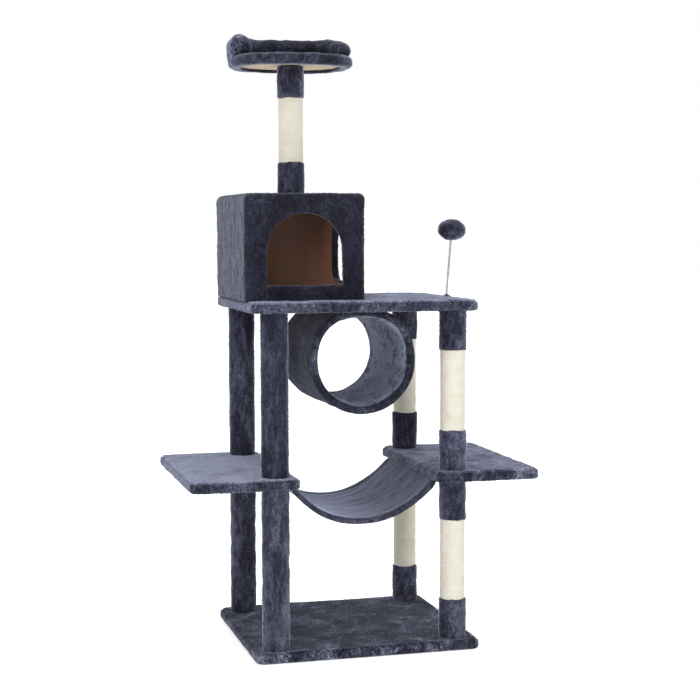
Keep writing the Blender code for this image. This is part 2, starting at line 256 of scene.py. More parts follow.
def plushMaterial(name, lift=0.0, stretch=(1, 1, 0.4), contrast=1.0, seed=0.0, sheen=0.9,
                  nub=0.0022, inner=0.0):
    # brushed pile: broad nap blotches, finger strokes, tufts and single fibres. inner lifts
    # the tone by the piece's own attribute, as painted light on the parts that the attribute marks
    page = Page(name, roughness=0.92, Sheen_Weight=sheen, Sheen_Roughness=0.34,
                Sheen_Tint=plush["haze"], Specular_IOR_Level=0.1)
    flow = page.place(stretch, (seed, seed * 0.7, seed * 0.3))
    even = page.place((1, 1, 1), (seed, 0, seed))
    blotch = page.noise(flow, plush["blotch"], 2.0, 0.5, 0.9)
    streak = page.noise(flow, plush["streak"], 3.0, 0.6, 1.3)
    clump = page.noise(flow, plush["clump"], 2.0, 0.6, 0.8)
    tuft = page.noise(even, plush["tuft"], 2.0, 0.6)
    fibre = page.noise(even, plush["fibre"], 1.0, 0.5)
    tone = ((blotch - 0.5) * (1.50 * contrast) + (streak - 0.5) * (1.20 * contrast)
            + (clump - 0.5) * (1.10 * contrast) + (tuft - 0.5) * 0.90 + (fibre - 0.5) * 0.30
            + (0.45 + lift))
    if inner:
        laid = page.node("ShaderNodeAttribute", {"attribute_name": "laid"}, output="Fac")
        tone = tone + laid * inner
    stops = plush["litStops" if inner else "stops"]
    colour = page.ramp(tone, list(zip(stops, plush["shades"])))
    height = streak * 0.40 + clump * 0.35 + tuft * 0.18 + fibre * 0.07
    return page.use(Base_Color=colour, Normal=page.bump(height, nub, 0.85),
                    Roughness=page.range(tone, 0.1, 0.9, 0.97, 0.80))


def sisalMaterial():
    # rope turns follow the UV map: u round the post and v across one turn
    page = Page("sisal_rope", roughness=0.85, Specular_IOR_Level=0.2)
    strand = page.node("ShaderNodeTexWave", {"wave_type": "BANDS", "bands_direction": "DIAGONAL"},
                       {"Vector": page.uv((140, 1.0, 1)), "Scale": 0.8, "Distortion": 1.6,
                        "Detail": 2.0, "Detail Scale": 1.2}, output="Fac")
    fleck = page.noise(page.place((1, 1, 3)), 240, 2.0, 0.6)
    patch = page.noise(page.place((1, 1, 2)), 16, 2.0, 0.5)
    turnTone = page.noise(page.uv((0.3, 1.0, 1)), 1.7, 0.0)
    tone = fleck * 0.35 + patch * 0.3 + turnTone * 0.2 + strand * 0.15
    colour = page.ramp(tone, [(0.22, shade(0.46, 0.41, 0.315)),
                              (0.42, shade(0.635, 0.60, 0.495)),
                              (0.60, shade(0.70, 0.676, 0.596)),
                              (0.85, shade(0.77, 0.75, 0.685))])
    height = strand * 0.6 + fleck * 0.4
    return page.use(Base_Color=colour, Normal=page.bump(height, 0.0006, 0.5))


def boardMaterial(name, dark, light, scale=(1, 1, 1), flake=180.0, gloss=0.8):
    # pressed chips or fibres with slow stains
    page = Page(name, roughness=gloss)
    chips = page.node("ShaderNodeTexVoronoi", {"feature": "F1"},
                      {"Vector": page.place(scale), "Scale": flake, "Randomness": 1.0},
                      output="Color")
    chipTone = page.node("ShaderNodeSeparateColor", {}, [chips])
    grain = page.noise(page.place(scale), flake * 0.6, 4.0, 0.6)
    stain = page.noise(page.place(), 7.0, 2.0)
    tone = chipTone * 0.45 + grain * 0.35 + stain * 0.35 - 0.07
    colour = page.ramp(tone, [(0.2, dark), (0.8, light)])
    return page.use(Base_Color=colour, Normal=page.bump(grain, 0.0004, 0.4),
                    Roughness=page.range(stain, 0.3, 0.7, gloss - 0.08, gloss + 0.06))


def houseBoardMaterial(name, gain):
    # brown hardboard, smooth; gain brightens the whole colour, and a high gain is painted light for
    # the light that reaches the board
    page = Page(name, roughness=0.62)
    drift = page.noise(page.place((1, 1, 0.25)), 9.0, 2.0, 0.5)
    grain = page.noise(page.place((1, 1, 0.15)), 160, 3.0, 0.6)
    tone = drift * 0.7 + grain * 0.3
    stops = [(0.25, (0.125, 0.068, 0.045)), (0.55, (0.20, 0.104, 0.066)),
             (0.8, (0.27, 0.136, 0.080))]
    lit = [(place, shade(*(gain * c for c in value))) for place, value in stops]
    colour = page.ramp(tone, lit)
    return page.use(Base_Color=colour, Normal=page.bump(grain, 0.0003, 0.3))


def metalMaterial(name, colour, roughness):
    # drawn and plated metal with faint length marks
    page = Page(name, roughness=roughness, metallic=1.0)
    marks = page.noise(page.place((1, 1, 0.2)), 700, 2.0)
    dull = page.noise(page.place(), 60, 2.0)
    pale = tuple(min(1.0, c * 1.15) for c in colour[:3])
    tone = page.ramp(marks * 0.5 + dull * 0.5, [(0.3, colour), (0.75, shade(*pale))])
    wear = page.range(dull, 0.3, 0.7, roughness - 0.08, roughness + 0.1)
    return page.use(Base_Color=tone, Roughness=wear, Normal=page.bump(marks, 0.0001, 0.3))


def plasticMaterial():
    page = Page("moulded_plastic", roughness=0.45)
    grain = page.noise(page.place(), 900, 2.0)
    tone = page.ramp(grain, [(0.3, shade(0.012, 0.012, 0.015)), (0.8, shade(0.028, 0.028, 0.034))])
    return page.use(Base_Color=tone, Normal=page.bump(grain, 0.0001, 0.4))


chipMaterial = boardMaterial("chipboard", shade(0.30, 0.22, 0.14), shade(0.56, 0.46, 0.33))
cardMaterial = boardMaterial("kraft_card", shade(0.27, 0.18, 0.10), shade(0.42, 0.30, 0.18),
                             (1, 1, 6), 120)
houseMaterial = houseBoardMaterial("house_hardboard", 1.25)
# a copy painted four times lighter: painted light on the right wall, where light comes in through
# the door
houseLitBoardMaterial = houseBoardMaterial("house_hardboard_painted_light", 4.0)
steelMaterial = metalMaterial("plated_steel", shade(0.55, 0.56, 0.58), 0.38)
wireMaterial = metalMaterial("spring_steel", shade(0.62, 0.63, 0.66), 0.30)
ropeMaterial = sisalMaterial()
print("materials ready")


# surfaces

def ripple(points, size, seed, waves=14):
    # smooth wandering value of about unit spread: a mean of sine waves in random directions,
    # each about size long
    draw = np.random.default_rng(seed)
    ways = draw.normal(size=(waves, 3))
    ways /= np.linalg.norm(ways, axis=1)[:, None]
    ways *= (2 * math.pi / size) * draw.uniform(0.65, 1.45, waves)[:, None]
    phase = draw.uniform(0, 2 * math.pi, waves)
    return np.sin(points @ ways.T + phase).sum(1) / math.sqrt(waves / 2)


def gridFaces(rows, columns, closedRows=False, closedColumns=False):
    # quads over a grid of points numbered row by row
    r = np.arange(rows if closedRows else rows - 1)
    c = np.arange(columns if closedColumns else columns - 1)
    r, c = np.meshgrid(r, c, indexing="ij")
    r2, c2 = (r + 1) % rows, (c + 1) % columns
    quads = np.stack([r * columns + c, r * columns + c2, r2 * columns + c2, r2 * columns + c], -1)
    return quads.reshape(-1, 4)


def endCaps(rows, columns):
    # one face over each open end of a tube
    return [np.arange(columns)[::-1], (rows - 1) * columns + np.arange(columns)]


def meshFrom(name, points, quads, extra, material, uv=None):
    mesh = bpy.data.meshes.new(name)
    faces = quads.tolist() + [tuple(int(k) for k in f) for f in extra]
    mesh.from_pydata(points.tolist(), [], faces)
    if uv is not None:
        layer = mesh.uv_layers.new(name="UVMap")
        corner = np.zeros(len(mesh.loops), np.int32)
        mesh.loops.foreach_get("vertex_index", corner)
        layer.data.foreach_set("uv", uv[corner].astype(np.float32).ravel())
    mesh.shade_smooth()
    mesh.materials.append(material)
    obj = bpy.data.objects.new(name, mesh)
    bpy.context.scene.collection.objects.link(obj)
    return obj


def pointsOf(obj):
    flat = np.zeros(len(obj.data.vertices) * 3, np.float32)
    obj.data.vertices.foreach_get("co", flat)
    return flat.reshape(-1, 3).astype(float)


def normalsOf(obj):
    flat = np.zeros(len(obj.data.vertices) * 3, np.float32)
    obj.data.vertex_normals.foreach_get("vector", flat)
    return flat.reshape(-1, 3).astype(float)


def setPoints(obj, points):
    obj.data.vertices.foreach_set("co", points.astype(np.float32).ravel())
    obj.data.update()


def markPaintedLight(obj, share):
    # how much painted light lifts the tone, for each point
    mark = obj.data.attributes.new("laid", "FLOAT", "POINT")
    mark.data.foreach_set("value", share.astype(np.float32).ravel())


def faceOutwards(obj):
    # turns every face out, by the sign of the volume that the faces enclose
    work = bmesh.new()
    work.from_mesh(obj.data)
    bmesh.ops.remove_doubles(work, verts=work.verts, dist=0.00001)
    bmesh.ops.recalc_face_normals(work, faces=work.faces)
    if work.calc_volume(signed=True) < 0:
        bmesh.ops.reverse_faces(work, faces=work.faces)
    work.to_mesh(obj.data)
    work.free()
    obj.data.shade_smooth()


# each layer's length and height
pile = {"wave": (0.060, 0.00045), "tuft": (0.0120, 0.00012), "fibre": (0.0050, 0.00018),
        "proud": 0.0006}


def brush(obj, seed, amount=1.0, mask=None, proud=0.0, fuzz=1.0):
    # pile of uneven height: moves each point along its normal by waves, tufts and fibre ends
    points, normals = pointsOf(obj), normalsOf(obj)
    rise = np.full(len(points), pile["proud"] + proud)
    for k, part in enumerate(("wave", "tuft", "fibre")):
        size, height = pile[part]
        if part == "fibre":
            height *= fuzz
        rise += height * ripple(points, size, seed * 7 + k, 14 + 4 * k)
    if mask is not None:
        rise *= mask
    setPoints(obj, points + normals * (rise * amount)[:, None])


def arc(centre, radius, start, end, count):
    # points of a circle in the profile's plane, from one angle in degrees to another
    turn = np.radians(np.linspace(start, end, count))
    return [(centre[0] + radius * math.cos(t), centre[1] + radius * math.sin(t)) for t in turn]


def box(node):
    low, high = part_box(node)
    return np.array(low, float), np.array(high, float)


def finishPiece(obj, body, slotName, *nodes):
    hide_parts(*nodes)
    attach(obj, body)


# plush wrapped plates

plates = {"nap": 0.0016, "step": 0.0036, "edge": 0.0085, "lowerEdge": 0.0050, "fold": 0.036,
          "skin": 0.0040, "corner": 0.022, "fuzz": 2.6, "topBand": 0.003, "topFade": 0.002,
          "inwards": 0.0035, "floorFade": 0.006}


def plateSurface(name, low, high, plan, step, edge, fold, skin, material, lower=None):
    # a square grid on top runs over the rounded edge, down the side and in under the board.
    # plan(u, v, inset) gives the outline's x and y for a square position and a distance inwards
    lower = edge if lower is None else lower
    size = high - low
    nx, ny = int(size[0] / step), int(size[1] / step)
    u, v = np.meshgrid(np.linspace(-1, 1, nx), np.linspace(-1, 1, ny), indexing="ij")
    top = np.stack([*plan(u, v, edge), np.full(u.shape, high[2])], -1).reshape(-1, 3)
    ring = np.concatenate([np.arange(nx) * ny, (nx - 1) * ny + np.arange(1, ny),
                           np.arange(nx - 2, -1, -1) * ny + ny - 1, np.arange(ny - 2, 0, -1)])
    ru, rv = u.ravel()[ring], v.ravel()[ring]
    profile = arc((edge, high[2] - edge), edge, 90, 180, 6)[1:]
    steps = max(3, int((size[2] - edge - lower) / step) + 2)
    side = np.linspace(high[2] - edge, low[2] + lower, steps)
    profile += [(0, z) for z in side[1:-1]]
    profile += arc((lower, low[2] + lower), lower, 180, 270, 6)
    profile += [(i, low[2]) for i in np.linspace(lower, fold - 0.002, 8)[1:]]
    profile += [(fold, low[2] + 0.002), (fold, low[2] + skin), (skin, low[2] + skin),
                (skin, high[2] - skin)]
    rings = [np.stack([*plan(ru, rv, inset), np.full(len(ring), z)], -1) for inset, z in profile]
    points = np.concatenate([top] + rings)
    quads = [gridFaces(nx, ny)]
    count, start = len(ring), len(top)
    loops = [ring] + [start + np.arange(count) + k * count for k in range(len(rings))]
    for above, below in zip(loops[:-1], loops[1:]):
        quads.append(np.stack([above, below, np.roll(below, -1), np.roll(above, -1)], -1))
    return meshFrom(name, points, np.concatenate(quads), [loops[-1]], material)


def roundedPlan(centre, half, corner):
    # square positions on a rectangle whose corners are quarter circles: past the inner
    # rectangle, the square distance becomes a round one
    def plan(u, v, inset):
        hx, hy = half[0] - inset, half[1] - inset
        r = max(corner - inset, 0.0012)
        x, y = u * hx, v * hy
        qx, qy = np.clip(x, r - hx, hx - r), np.clip(y, r - hy, hy - r)
        dx, dy = x - qx, y - qy
        far = np.maximum(np.hypot(dx, dy), 1e-9)
        scale = np.maximum(np.abs(dx), np.abs(dy)) / far
        return centre[0] + qx + dx * scale, centre[1] + qy + dy * scale
    return plan


def ovalPlan(centre, half, power):
    # square positions on a superellipse
    def plan(u, v, inset):
        reach = np.maximum((np.abs(u) ** power + np.abs(v) ** power) ** (1 / power), 1e-9)
        scale = np.maximum(np.abs(u), np.abs(v)) / reach
        return centre[0] + u * scale * (half[0] - inset), centre[1] + v * scale * (half[1] - inset)
    return plan


def makePlates():
    # tone, contrast, sheen, height of the nap's bumps and how much lighter the top is painted:
    # painted light from above, and painted shade on the base's top where it is negative
    looks = {"base": (-0.04, 1.1, 0.24, 0.0070, -0.05),
             "left_shelf": (0.06, 0.62, 0.52, 0.0110, 0.42),
             "right_shelf": (-0.02, 0.80, 0.42, 0.0100, 0.27),
             "deck": (-0.02, 0.60, 0.52, 0.0080, 0.30)}
    for k, (name, (lift, contrast, sheen, nub, laid)) in enumerate(looks.items()):
        low, high = box(name + "_cover")
        plan = roundedPlan((low + high)[:2] / 2, (high - low)[:2] / 2, plates["corner"])
        material = plushMaterial("plush_" + name, lift, (1, 1, 0.6), contrast, 3.1 * k, sheen,
                                 nub, laid)
        obj = plateSurface(name + "_plush", low, high, plan, plates["step"], plates["edge"],
                           plates["fold"], plates["skin"], material, plates["lowerEdge"])
        faceOutwards(obj)
        points = pointsOf(obj)
        # the top band is painted lighter, as painted light from above (darker on the base, as
        # painted shade)
        above = points[:, 2] - high[2] + plates["topBand"]
        markPaintedLight(obj, np.clip(above / plates["topFade"], 0, 1))
        # the hidden inside stays still, and nothing goes below the floor
        inside = (points[:, 2] > low[2] + 0.003) & (points[:, 2] < high[2] - 0.001)
        past = np.abs(points - (low + high) / 2) - (high - low) / 2
        inside &= np.maximum(past[:, 0], past[:, 1]) < -plates["inwards"]
        mask = np.where(inside, 0.0, 1.0)
        if name == "base":
            mask *= np.clip(points[:, 2] / plates["floorFade"], 0, 1)
        brush(obj, 10 + k, 1.0, mask, plates["nap"], plates["fuzz"])
        finishPiece(obj, "frame", "plush", name + "_cover")
    print("plates done")


makePlates()


# posts

sleeves = {"aroundStep": 0.0031, "upStep": 0.0034, "edge": 0.0035, "pile": 0.0052,
           "seamDepth": 0.0013, "seamWidth": 0.0016, "seamTurn": -22, "cuffSeamTurn": 150,
           "wander": 0.0008, "wanderHeight": 0.02, "fuzz": 3.4}


def sleeveSurface(name, node, material, seed, seam):
    # a profile of radius and height carried round the post: out along the bottom, up the pile,
    # in along the top and down the hidden inside. A sewn seam runs up at the angle seam
    low, high = box(node)
    centre, outer = (low + high)[:2] / 2, (high - low)[0] / 2
    inner, edge = outer - sleeves["pile"], sleeves["edge"]
    up = np.linspace(low[2] + edge, high[2] - edge, int((high[2] - low[2]) / sleeves["upStep"]))
    profile = [(inner, low[2])] + arc((outer - edge, low[2] + edge), edge, 270, 360, 5)[:-1]
    profile += [(outer, z) for z in up]
    profile += arc((outer - edge, high[2] - edge), edge, 0, 90, 5)[1:] + [(inner, high[2])]
    profile = np.array(profile)
    count = int(2 * math.pi * outer / sleeves["aroundStep"])
    turn = np.linspace(0, 2 * math.pi, count, endpoint=False)
    radius = np.repeat(profile[:, :1], count, 1)
    outside = (radius > inner + 0.002).astype(float)
    away = (turn - math.radians(seam) + math.pi) % (2 * math.pi) - math.pi
    away = away * outer / sleeves["seamWidth"]
    groove = np.exp(-away ** 2) - 0.55 * np.exp(-(np.abs(away) - 1.9) ** 2)
    radius -= outside * sleeves["seamDepth"] * groove[None, :]
    height = np.repeat(profile[:, 1:], count, 1)
    if "cuff" in name:
        # the end that meets the rope wanders a little
        ring = np.column_stack([np.cos(turn), np.sin(turn), 0 * turn])
        nearRope = height - low[2] if name.endswith("cuff_high_plush") else high[2] - height
        height = height + (sleeves["wander"] * ripple(ring, 0.9, seed + 500)[None, :]
                           * np.clip(1 - nearRope / sleeves["wanderHeight"], 0, 1))
    points = np.stack([centre[0] + radius * np.cos(turn), centre[1] + radius * np.sin(turn),
                       height], -1).reshape(-1, 3)
    obj = meshFrom(name, points, gridFaces(len(profile), count, True, True), (), material)
    faceOutwards(obj)
    spot = pointsOf(obj)
    away = np.hypot(spot[:, 0] - centre[0], spot[:, 1] - centre[1])
    brush(obj, seed, 1.0, np.clip((away - inner - 0.001) / 0.003, 0, 1), 0.0, sleeves["fuzz"])
    finishPiece(obj, "frame", "plush", node)


rope = {"pitch": 0.0042, "rowsPerTurn": 9, "around": 72, "swell": 0.0013, "proud": 0.0002,
        "slack": 0.00016, "depth": 0.0030}


def sisalSurface(name, node):
    # rope wound on the tube: the radius swells in a half round once a turn, and the phase
    # climbs with the angle, so the ridges form one helix
    low, high = box(node)
    centre, outer = (low + high)[:2] / 2, (high - low)[0] / 2
    rows = int((high[2] - low[2]) / rope["pitch"] * rope["rowsPerTurn"])
    turn = np.linspace(0, 2 * math.pi, rope["around"] + 1)
    z, angle = np.meshgrid(np.linspace(low[2], high[2], rows), turn, indexing="ij")
    phase = (z - low[2]) / rope["pitch"] + angle / (2 * math.pi)
    across = (phase % 1.0) * 2 - 1
    spot = np.stack([np.cos(angle) * outer, np.sin(angle) * outer, z], -1).reshape(-1, 3)
    slack = rope["slack"] * ripple(spot + [*centre, 0], 0.02, 5).reshape(z.shape)
    round_ = 1 - np.sqrt(np.clip(1 - across ** 2, 0, 1))
    radius = outer + rope["proud"] - rope["swell"] * round_ + slack
    outside = np.stack([centre[0] + radius * np.cos(angle),
                        centre[1] + radius * np.sin(angle), z], -1)
    inner = outer - rope["depth"]
    ends = [np.stack([centre[0] + inner * np.cos(turn), centre[1] + inner * np.sin(turn),
                      np.full(len(turn), level)], -1)[None] for level in (low[2], high[2])]
    points = np.concatenate([ends[0], outside, ends[1]])
    level = np.concatenate([[z[0]], z, [z[-1]]])
    lay = np.concatenate([[phase[0]], phase, [phase[-1]]])
    uv = np.stack([lay * 0.2 + 0 * level, lay], -1).reshape(-1, 2)
    obj = meshFrom(name, points.reshape(-1, 3), gridFaces(rows + 2, len(turn), True, False), (),
                   ropeMaterial, uv)
    faceOutwards(obj)
    finishPiece(obj, "frame", "sisal", node)


def ropedPost(name, material, seed):
    # rope between two plush cuffs
    for k, cuff in enumerate(("_cuff_low", "_cuff_high")):
        sleeveSurface(name + cuff + "_plush", name + cuff, material, seed + k,
                      sleeves["cuffSeamTurn"])
    sisalSurface(name + "_rope", name + "_sisal")


def makePosts():
    # each post's plush is painted lighter or darker by its tone, as painted light and painted shade
    # for how light falls on it
    shades = {"lower_left_front": 0.06, "lower_right_front": 0.16, "lower_left_rear": 0.06,
              "lower_right_rear": 0.20, "upper_left_front": -0.14, "upper_right_front": 0.16,
              "upper_left_rear": 0.10, "upper_right_rear": 0.0}
    posts = ("lower_{}_front", "lower_{}_rear", "upper_{}_front", "upper_{}_rear")
    for k, post in enumerate(posts):
        seed = 41 + 3 * k
        name = post.format("left")
        material = plushMaterial("plush_" + name, shades[name], (1, 1, 0.35), 0.9, seed * 1.3)
        sleeveSurface(name + "_plush", name + "_sleeve", material, seed, sleeves["seamTurn"])
        name = post.format("right")
        material = plushMaterial("plush_" + name, shades[name], (1, 1, 0.5), 1.0, seed * 2.1)
        ropedPost(name, material, seed + 1)
    ropedPost("top", plushMaterial("plush_top_post", 0.02, (1, 1, 0.5), 1.0, 7.7), 53)
    print("posts done")


makePosts()


# house

house = {
    "nap": 0.0022, "step": 0.0042, "round": 0.014, "cornerRound": 0.0215, "roundFade": 0.05,
    "skin": 0.0024, "reveal": 0.0165, "lip": 0.0045, "fuzz": 2.6,
    "doorSide": 0.052, "doorWidth": 0.209, "doorSill": 0.0381, "doorSpring": 0.1311,
    "doorCrown": 0.2321, "doorMiddle": 0.010,
    "windowLow": 0.0426, "windowHigh": 0.2141, "windowHalf": 0.076, "windowPower": 4.0,
}


def archReach(turn, half, drop, spring, rise):
    # how far the door's edge is from its middle: the straight sides and sill below the
    # spring line, and an ellipse above it
    c, s = np.cos(turn), np.sin(turn)
    side = half / np.maximum(np.abs(c), 1e-9)
    sill = np.where(s < -1e-9, drop / np.maximum(-s, 1e-9), 1e9)
    straight = np.minimum(side, sill)
    a = c ** 2 / half ** 2 + s ** 2 / rise ** 2
    b = -2 * s * spring / rise ** 2
    curved = (-b + np.sqrt(np.maximum(b ** 2 - 4 * a * (spring ** 2 / rise ** 2 - 1), 0))) / (2 * a)
    return np.where(s * straight <= spring, straight, curved)


def holedPanel(across, up, centre, reach, lift):
    # rows run from the folded edge inside the hole, over its lip and out to the panel's
    # border; reach(turn, grow) is the hole's edge and lift(flat, depth) places a row in space
    n, m = len(across), len(up)
    border = np.concatenate([
        np.column_stack([across, np.full(n, up[0])]),
        np.column_stack([np.full(m, across[-1]), up])[1:],
        np.column_stack([across[::-1], np.full(n, up[-1])])[1:],
        np.column_stack([np.full(m, across[0]), up[::-1]])[1:-1]])
    turn = np.arctan2(border[:, 1] - centre[1], border[:, 0] - centre[0])
    way = np.column_stack([np.cos(turn), np.sin(turn)])
    lip = house["lip"]
    rows = []
    for depth in np.linspace(house["reveal"], lip, 5)[:-1]:
        rows.append(lift(centre + way * reach(turn, 0.0)[:, None], depth, False))
    for t in np.linspace(0, math.pi / 2, 5):
        flat = centre + way * reach(turn, lip * (1 - math.cos(t)))[:, None]
        rows.append(lift(flat, lip * (1 - math.sin(t)), False))
    inside = centre + way * reach(turn, lip)[:, None]
    widest = np.linalg.norm(border - inside, axis=1).max()
    for share in np.linspace(0, 1, int(widest / house["step"]) + 2)[1:]:
        rows.append(lift(inside + (border - inside) * share, 0.0, True))
    points = np.concatenate(rows)
    return points, gridFaces(len(rows), len(border), False, True)


def makeHouse():
    low, high = box("house_cover")
    top = house["round"]
    counts = ((high - low) / house["step"]).astype(int)
    xs, ys, zs = (np.linspace(low[k], high[k], counts[k]) for k in range(3))

    def rounded(points):
        # a box with round edges: past the inner box, each point goes to its radius, which
        # is larger on the upright corners than round the roof
        t = np.clip((high[2] - top - points[:, 2]) / house["roundFade"], 0, 1)
        r = top + (house["cornerRound"] - top) * t * t * (3 - 2 * t)
        core = np.stack([np.clip(points[:, 0], low[0] + r, high[0] - r),
                         np.clip(points[:, 1], low[1] + r, high[1] - r),
                         np.minimum(points[:, 2], high[2] - r)], -1)
        away = points - core
        return core + away * (r / np.maximum(np.linalg.norm(away, axis=1), 1e-9))[:, None]

    parts = []

    def flatPanel(fixed, value, first, second):
        a, b = np.meshgrid(first, second, indexing="ij")
        axes = [k for k in range(3) if k != fixed]
        points = np.zeros(a.shape + (3,))
        points[..., fixed], points[..., axes[0]], points[..., axes[1]] = value, a, b
        parts.append((rounded(points.reshape(-1, 3)), gridFaces(len(first), len(second))))
    flatPanel(0, low[0], ys, zs)
    flatPanel(1, high[1], xs, zs)
    flatPanel(2, high[2], xs, ys)

    half = house["doorWidth"] / 2
    spring, sill = low[2] + house["doorSpring"], low[2] + house["doorSill"]
    rise = house["doorCrown"] - house["doorSpring"]
    middle = np.array([low[0] + house["doorSide"] + half, spring - house["doorMiddle"]])

    def doorReach(turn, grow):
        return archReach(turn, half + grow, middle[1] - sill + grow, spring - middle[1],
                         rise + grow)

    def frontLift(flat, depth, onFace):
        points = np.column_stack([flat[:, 0], np.full(len(flat), low[1] + depth), flat[:, 1]])
        return rounded(points) if onFace else points
    parts.append(holedPanel(xs, zs, middle, doorReach, frontLift))

    tall = (house["windowHigh"] - house["windowLow"]) / 2
    power = house["windowPower"]
    eye = np.array([(low[1] + high[1]) / 2, low[2] + house["windowLow"] + tall])

    def windowReach(turn, grow):
        return ((np.abs(np.cos(turn)) / (house["windowHalf"] + grow)) ** power
                + (np.abs(np.sin(turn)) / (tall + grow)) ** power) ** (-1 / power)

    def rightLift(flat, depth, onFace):
        points = np.column_stack([np.full(len(flat), high[0] - depth), flat])
        return rounded(points) if onFace else points
    parts.append(holedPanel(ys, zs, eye, windowReach, rightLift))

    starts = np.cumsum([0] + [len(p) for p, _ in parts[:-1]])
    points = np.concatenate([p for p, _ in parts])
    quads = np.concatenate([q + start for (_, q), start in zip(parts, starts)])
    material = plushMaterial("plush_house", -0.25, (1, 1, 0.55), 0.6, 11.0, 0.36, 0.0060)
    obj = meshFrom("house_plush", points, quads, (), material)
    faceOutwards(obj)
    brush(obj, 71, 1.0, None, house["nap"], house["fuzz"])
    wall = obj.modifiers.new("backing", "SOLIDIFY")
    wall.thickness, wall.offset = house["skin"], -1
    finishPiece(obj, "frame", "plush", "house_cover")
    print("house done")


makeHouse()


# tunnel

tunnel = {"step": 0.0035, "wall": 0.0195, "power": 2.35, "frontFlare": 0.0010, "rearRim": 0.0045,
          "binding": 0.022, "groove": (0.0026, 0.0030), "wander": 0.0034,
          "foldRound": 0.42, "foldSizes": (0.20, 0.12), "wrinkle": 0.0016, "inward": 0.0020,
          "foldFrom": 0.02, "foldFade": 0.03, "liningShare": 1.3, "outsideShare": 0.6,
          "liningLeast": 0.0158, "flatTop": (0.97, 0.03, 0.0004), "rimLight": 0.26}


def makeTunnel():
    # the wall's outline, of depth below the outer surface and place along the tunnel, is
    # carried round an oval that is squarer above; a groove parts the bound rims from the lining
    low, high = box("tunnel_cover")
    y0, y1 = low[1], high[1]
    middle, half = (low + high) / 2, (high - low) / 2
    wall = tunnel["wall"]
    e = wall / 2
    along = np.linspace(y0 + e, y1 - e, int((y1 - y0) / tunnel["step"]))
    bow = np.linspace(0, math.pi, 11)[1:-1]
    path = [(0, y) for y in along]
    path += [(e - e * math.cos(t), y1 - e + e * math.sin(t)) for t in bow]
    path += [(wall, y) for y in along[::-1]]
    path += [(e + e * math.cos(t), y0 + e - e * math.sin(t)) for t in bow]
    path = np.array(path)
    depth, y = path[:, 0], path[:, 1]
    fromEnd = np.minimum(y - y0, y1 - y)
    inside = depth > e
    rim = np.where(y < middle[1], -tunnel["frontFlare"], tunnel["rearRim"])
    bulge = rim * np.clip(1.4 - fromEnd / tunnel["binding"], 0, 1) * np.clip(depth / e - 1, 0, 1)
    count = int(2 * math.pi * half[0] / tunnel["step"])
    turn = np.linspace(0, 2 * math.pi, count, endpoint=False)
    d, a = np.meshgrid(depth, turn, indexing="ij")
    yy = np.repeat(y[:, None], count, 1)

    # the seam between the bound rim and the lining wanders round the oval
    ring = np.column_stack([np.cos(turn), np.sin(turn), 0 * turn])
    seam = tunnel["binding"] + tunnel["wander"] * ripple(ring, 0.8, 93)
    groove, width = tunnel["groove"]
    dent = groove * np.exp(-((fromEnd[:, None] - seam) / width) ** 2) * (np.abs(d - e) > e * 0.9)
    d = d + np.where(inside[:, None], -dent * 1.2, dent * 0.5) + bulge[:, None]
    lining = inside[:, None] & ((y - y0)[:, None] > seam)

    # folds run mostly along the tunnel: distances round the oval count three times
    reach, (long, short) = tunnel["foldRound"], tunnel["foldSizes"]
    flat = np.stack([reach * np.cos(a), yy, reach * np.sin(a)], -1).reshape(-1, 3)
    pull = ripple(flat, long, 91).reshape(a.shape) * tunnel["wrinkle"]
    pull = pull + np.where(lining, tunnel["inward"], 0)
    crease = ripple(flat * (1, 2, 1), short, 92).reshape(a.shape) * tunnel["wrinkle"] * 0.6
    fade = np.clip((np.minimum(yy - y0, y1 - yy) - tunnel["foldFrom"]) / tunnel["foldFade"], 0, 1)
    share = np.where(lining, tunnel["liningShare"], tunnel["outsideShare"])
    d = d + (pull + crease) * fade * share

    # the top lies against the deck, and the lining stays clear of the tube's wall
    start, span, sunk = tunnel["flatTop"]
    d = np.maximum(d, np.clip((np.sin(a) - start) / span, 0, 1) * sunk)
    deep = (inside & (fromEnd > 1.3 * e))[:, None]
    d = np.where(deep, np.maximum(d, tunnel["liningLeast"]), d)
    c, s = np.cos(a), np.sin(a)
    power = np.where(s > 0, 2 / tunnel["power"], 1)
    x = middle[0] + (half[0] - d) * np.sign(c) * np.abs(c) ** power
    z = middle[2] + (half[2] - d) * np.sign(s) * np.abs(s) ** power
    points = np.stack([x, yy, z], -1).reshape(-1, 3)
    # the whole tunnel is painted darker, as painted shade on the outside under the deck; the
    # attribute paints the lining lighter again, as painted light
    material = plushMaterial("plush_tunnel", -0.34, (1, 0.6, 1), 0.8, 17.0, 0.16, 0.0060, 0.86)
    obj = meshFrom("tunnel_plush", points, gridFaces(len(path), count, True, True), (), material)
    # painted light: all of the lining, and the bound rims a little
    bound = tunnel["rimLight"] * (((y - y0)[:, None] <= seam) & (depth > 0)[:, None])
    markPaintedLight(obj, np.where(lining, 1.0, bound))
    faceOutwards(obj)
    brush(obj, 95, 0.9)
    finishPiece(obj, "frame", "plush", "tunnel_cover", "tunnel_lining")
    print("tunnel done")


makeTunnel()


# hammock

hammock = {"step": 0.0040, "thick": 0.010, "tab": 0.170, "tabStart": 0.197, "tabEnd": 0.2045,
           "thin": 0.0042, "roll": 0.0088, "rollWidth": 0.014, "droop": 0.0045, "bend": 3,
           "crease": 0.0002, "creaseEnd": 0.205, "sagHalf": 0.1910, "sagPower": 2.3, "shift": 0.008}


